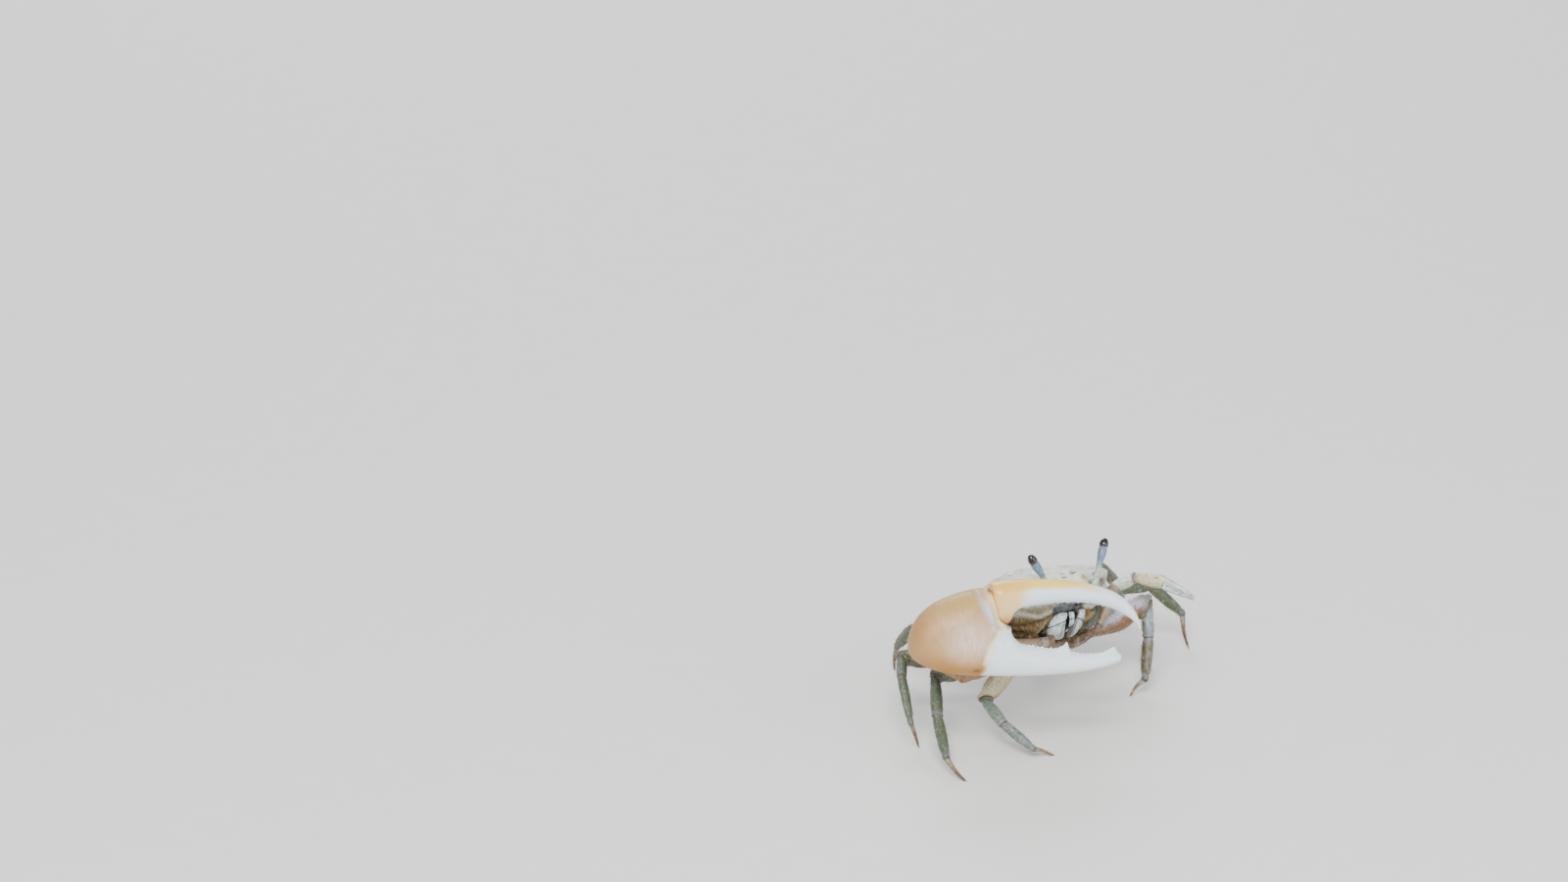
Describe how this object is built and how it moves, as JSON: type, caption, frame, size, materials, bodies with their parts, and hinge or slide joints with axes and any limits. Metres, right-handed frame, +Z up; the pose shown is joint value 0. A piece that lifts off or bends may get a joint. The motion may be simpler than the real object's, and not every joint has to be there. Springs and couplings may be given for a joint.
{
  "type": "fiddler crab model",
  "caption": "Life-size still model of a male fiddler crab, standing with its large claw folded across its face and its eyestalks raised.",
  "frame": {"origin": "on the floor, under the middle of the standing crab's own outline", "axes": "+X to the crab's own left, -Y the way it faces, +Z up from the floor"},
  "size_m": [0.0482, 0.0348, 0.0226],
  "materials": {
    "shell": "semi-gloss, pale cream shell with small dark grey-blue flecks",
    "underside": "satin, olive brown",
    "mouth_plate": "semi-gloss, blue-grey",
    "eyestalk": "semi-gloss, pale green-grey",
    "eye": "wet gloss, near black",
    "claw_palm": "semi-gloss, tan orange with a cream middle",
    "claw_finger": "semi-gloss, white with a yellow upper edge",
    "small_claw": "semi-gloss, cream with olive mottling",
    "leg": "satin, mottled green and grey"
  },
  "bodies": {
    "root": {"carapace": "shell", "breastplate": "underside", "abdomen": "underside", "mouth_plate_left": "mouth_plate", "mouth_plate_right": "mouth_plate", "antenna_left": "mouth_plate", "antenna_right": "mouth_plate", "eyestalk_left": "eyestalk", "eyestalk_right": "eyestalk", "eye_left": "eye", "eye_right": "eye", "large_claw_merus": "claw_palm", "large_claw_carpus": "claw_palm", "large_claw_palm": "claw_palm", "large_claw_finger": "claw_finger", "small_claw_merus": "small_claw", "small_claw_carpus": "small_claw", "small_claw_palm": "small_claw", "small_claw_finger": "small_claw", "leg_right_first_merus": "leg", "leg_right_first_carpus": "leg", "leg_right_first_propodus": "leg", "leg_right_first_dactyl": "leg", "leg_right_second_merus": "leg", "leg_right_second_carpus": "leg", "leg_right_second_propodus": "leg", "leg_right_second_dactyl": "leg", "leg_right_third_merus": "leg", "leg_right_third_carpus": "leg", "leg_right_third_propodus": "leg", "leg_right_third_dactyl": "leg", "leg_right_fourth_merus": "leg", "leg_right_fourth_carpus": "leg", "leg_right_fourth_propodus": "leg", "leg_right_fourth_dactyl": "leg", "leg_left_first_merus": "leg", "leg_left_first_carpus": "leg", "leg_left_first_propodus": "leg", "leg_left_first_dactyl": "leg", "leg_left_second_merus": "leg", "leg_left_second_carpus": "leg", "leg_left_second_propodus": "leg", "leg_left_second_dactyl": "leg", "leg_left_third_merus": "leg", "leg_left_third_carpus": "leg", "leg_left_third_propodus": "leg", "leg_left_third_dactyl": "leg", "leg_left_fourth_merus": "leg", "leg_left_fourth_carpus": "leg", "leg_left_fourth_propodus": "leg", "leg_left_fourth_dactyl": "leg"}
  },
  "joints": []
}
